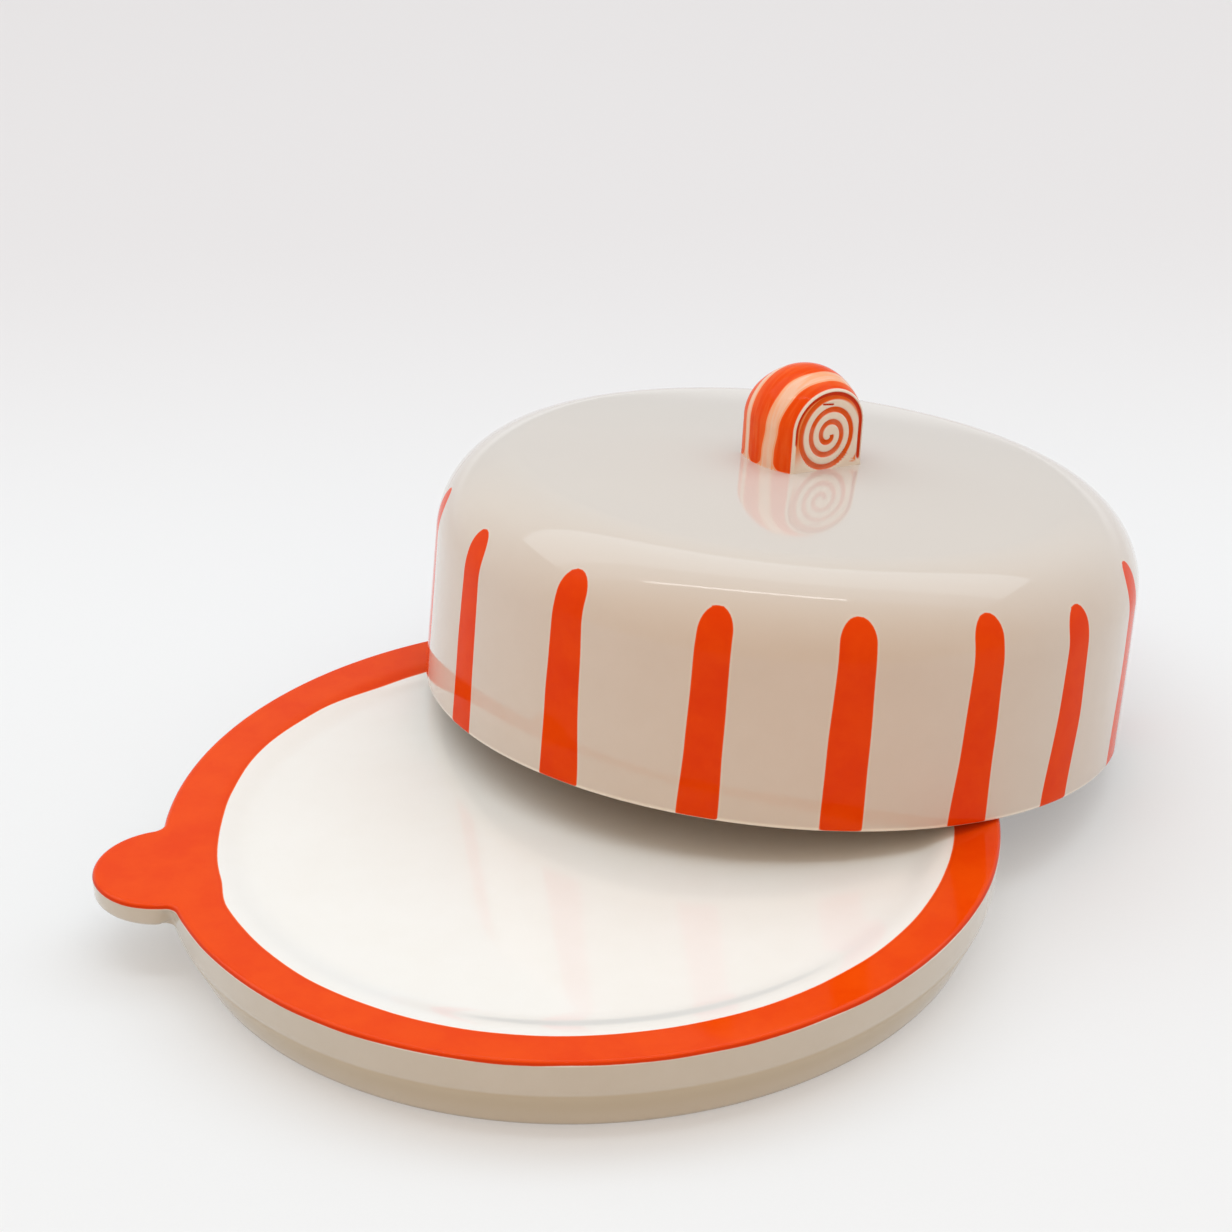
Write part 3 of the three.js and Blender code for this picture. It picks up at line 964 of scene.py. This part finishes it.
near_rings, ring_marks = end_rings()
far_rings = [[Vector((-p.x, p.y, p.z)) for p in ring] for ring in near_rings[::-1]]
middle_rings = barrel_rings()
knob_mesh = skin(
    "rolled_knob",
    Vector((knob_length / 2, 0, spiral_rise)),
    near_rings + middle_rings + far_rings,
    Vector((-knob_length / 2, 0, spiral_rise)),
)
ring_size = len(middle_rings[0])
middle_count = len(middle_rings) * ring_size
edge_count = edge_steps * ring_size
plain = (0, 0, 0)
near_marks = [plain] + [found for ring in ring_marks for found in ring]
far_marks = [found for ring in ring_marks[::-1] for found in ring] + [plain]
all_marks = near_marks + [plain] * middle_count + far_marks
end_share = [1] * (len(near_marks) + edge_count)
knob_marks = {
    "groove": [groove for groove, line, wash in all_marks],
    "line": [line for groove, line, wash in all_marks],
    "wash": [wash for groove, line, wash in all_marks],
    "on_end": end_share + [0] * (middle_count - 2 * edge_count) + end_share,
    "painted": [band_paint(vertex.co) for vertex in knob_mesh.vertices],
}
knob = fired_piece("rolled_knob", knob_mesh, knob_place, [make_knob_glaze()], knob_marks)
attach(knob, "cloche")
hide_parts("knob")

# Studio
# A table of white paper under a wide cool panel in two parts, with one bright tube along its front edge.
# A key strip beside the tube and a warm fill in front give light that the glaze doesn't mirror. The pale
# room is lightest at the left and warm in front of the table.
table_low = Vector((-0.95, -0.29))
table_high = Vector((0.8, 3.0))
paper_white = colour(233, 235, 237)
paper_shade = colour(230, 232, 234)
# Painted shade: the paper's darker tones towards the back.
paper_far_painted_shade = colour(221, 218, 219)
paper_pale = colour(243, 243, 244)
paper_pale_far_painted_shade = colour(229, 228, 229)
paper_glow = 0.34
black = (0, 0, 0, 1)
# Between which places, in metres, the paper turns to its darker far tone, which is painted shade, and fades
# out at the sides, back and front.
far_reach = (0.1, 0.6)
side_reach = (0.45, 0.75)
back_reach = (1.0, 2.0)
front_reach = (-0.23, -0.285)


def looked_at(tree):
    """1 for a ray from the camera, straight or by way of a mirror or glass, and 0 for light on its way."""
    ray = node(tree, "ShaderNodeLightPath").outputs
    other = calc(tree, "MAXIMUM", ray["Is Glossy Ray"], ray["Is Transmission Ray"])
    return calc(tree, "MAXIMUM", ray["Is Camera Ray"], other)


def make_floor_paper():
    """White paper that keeps its shadows, with painted shade darkening it towards the back, and a little
    glow to the eye that takes over at its edges.
    """
    made, tree, shader, place = new_material("studio_paper")
    at = parts(tree, place)
    grain = cloud(tree, place, scale=900, detail=3)
    # Painted shade: the paper darkens towards the back.
    far = ramp(tree, at["Y"], *far_reach)
    paper = blend(tree, far, blend(tree, grain, paper_shade, paper_white), paper_far_painted_shade)
    edge = ramp(tree, calc(tree, "ABSOLUTE", at["X"]), *side_reach)
    edge = calc(tree, "MAXIMUM", edge, ramp(tree, at["Y"], *back_reach))
    edge = calc(tree, "MAXIMUM", edge, ramp(tree, at["Y"], *front_reach))
    glow = calc(tree, "MULTIPLY", looked_at(tree), ramp(tree, edge, 0, 1, paper_glow, 1))
    tree.links.new(blend(tree, glow, paper, black), shader.inputs["Base Color"])
    pale = blend(tree, edge, blend(tree, far, paper_pale, paper_pale_far_painted_shade), paper_pale)
    tree.links.new(blend(tree, glow, black, pale), shader.inputs["Emission Color"])
    shader.inputs["Emission Strength"].default_value = 1
    shader.inputs["Roughness"].default_value = 0.9
    shader.inputs["Specular IOR Level"].default_value = 0.1
    return made


floor_mesh = bpy.data.meshes.new("studio_floor")
floor_corners = [
    (table_low.x, table_low.y, 0),
    (table_high.x, table_low.y, 0),
    (table_high.x, table_high.y, 0),
    (table_low.x, table_high.y, 0),
]
floor_mesh.from_pydata(floor_corners, [], [(0, 1, 2, 3)])
floor = fired_piece("studio_floor", floor_mesh, Matrix.Identity(4), [make_floor_paper()], {})


def soft_lamp(name, place, target, size, brightness, light):
    """A rectangle of even light, turned to face a point. Its power follows from its brightness."""
    width, height = size
    lamp = bpy.data.lights.new(name, "AREA")
    lamp.shape = "RECTANGLE"
    lamp.size = width
    lamp.size_y = height
    lamp.energy = brightness * math.pi * width * height
    lamp.color = light
    made = bpy.data.objects.new(name, lamp)
    bpy.context.scene.collection.objects.link(made)
    aim = (Vector(target) - Vector(place)).to_track_quat("-Z", "Y")
    made.matrix_world = Matrix.Translation(place) @ aim.to_matrix().to_4x4()
    return made


cool_light = (0.77, 0.91, 1.0)
white_light = (1.0, 1.0, 1.0)
key_light = (0.9, 0.97, 1.0)
warm_light = (1.0, 0.7, 0.46)
soft_lamp("ceiling_panel", (0, 0.77, 1.7), (0, 0.77, 0), (4.6, 1.06), 1.28, cool_light)
soft_lamp("panel_front", (0, -0.02, 1.7), (0, -0.02, 0), (4.6, 0.52), 0.5, cool_light)
soft_lamp("ceiling_tube", (-0.15, -0.28, 1.69), (-0.15, -0.28, 0), (1.5, 0.05), 6, white_light)
key_strip = soft_lamp("key_strip", (-0.02, -0.3, 1.69), (-0.02, -0.3, 0), (1.25, 0.3), 2.65, key_light)
key_strip.visible_glossy = False
front_fill = soft_lamp("front_fill", (0, -1.6, 0.7), (0, 0, 0.05), (1.8, 1.0), 0.42, warm_light)
front_fill.visible_glossy = False

room_left = (0.97, 0.98, 0.97, 1)
room_right = (0.88, 0.89, 0.9, 1)
room_back = (0.64, 0.64, 0.645, 1)
room_front = (0.73, 0.57, 0.43, 1)
world = bpy.data.worlds.new("studio_room")
world.use_nodes = True
bpy.context.scene.world = world
room = world.node_tree
way = parts(room, node(room, "ShaderNodeTexCoord").outputs["Generated"])
sideways = ramp(room, calc(room, "ABSOLUTE", way["X"]), 0.25, 0.7)
sides = blend(room, ramp(room, way["X"], -0.1, 0.1), room_left, room_right)
walls = blend(room, sideways, room_back, sides)
walls = blend(room, ramp(room, way["Y"], 0.1, -0.5), walls, room_front)
under = calc(room, "MULTIPLY", looked_at(room), ramp(room, way["Z"], 0.02, -0.02))
room.links.new(blend(room, under, walls, paper_pale), room.nodes["Background"].inputs["Color"])

# Camera
# Where the photograph was taken from: a little over a metre away and above, looking down on the plate,
# with a slight turn of the frame.
camera_offset = Vector((13.3, -973.0, 624.4)) * mm
camera_pitch = math.radians(28.078)
camera_roll = math.radians(-1.265)
camera = bpy.data.objects.new("camera", bpy.data.cameras.new("camera"))
bpy.context.scene.collection.objects.link(camera)
camera.data.sensor_width = 36
camera.data.lens = 99.35
camera.matrix_world = (
    Matrix.Translation(plate_middle + camera_offset)
    @ Matrix.Rotation(math.pi / 2 - camera_pitch, 4, "X")
    @ Matrix.Rotation(camera_roll, 4, "Z")
)
bpy.context.scene.camera = camera
bpy.context.scene.view_settings.view_transform = "Standard"
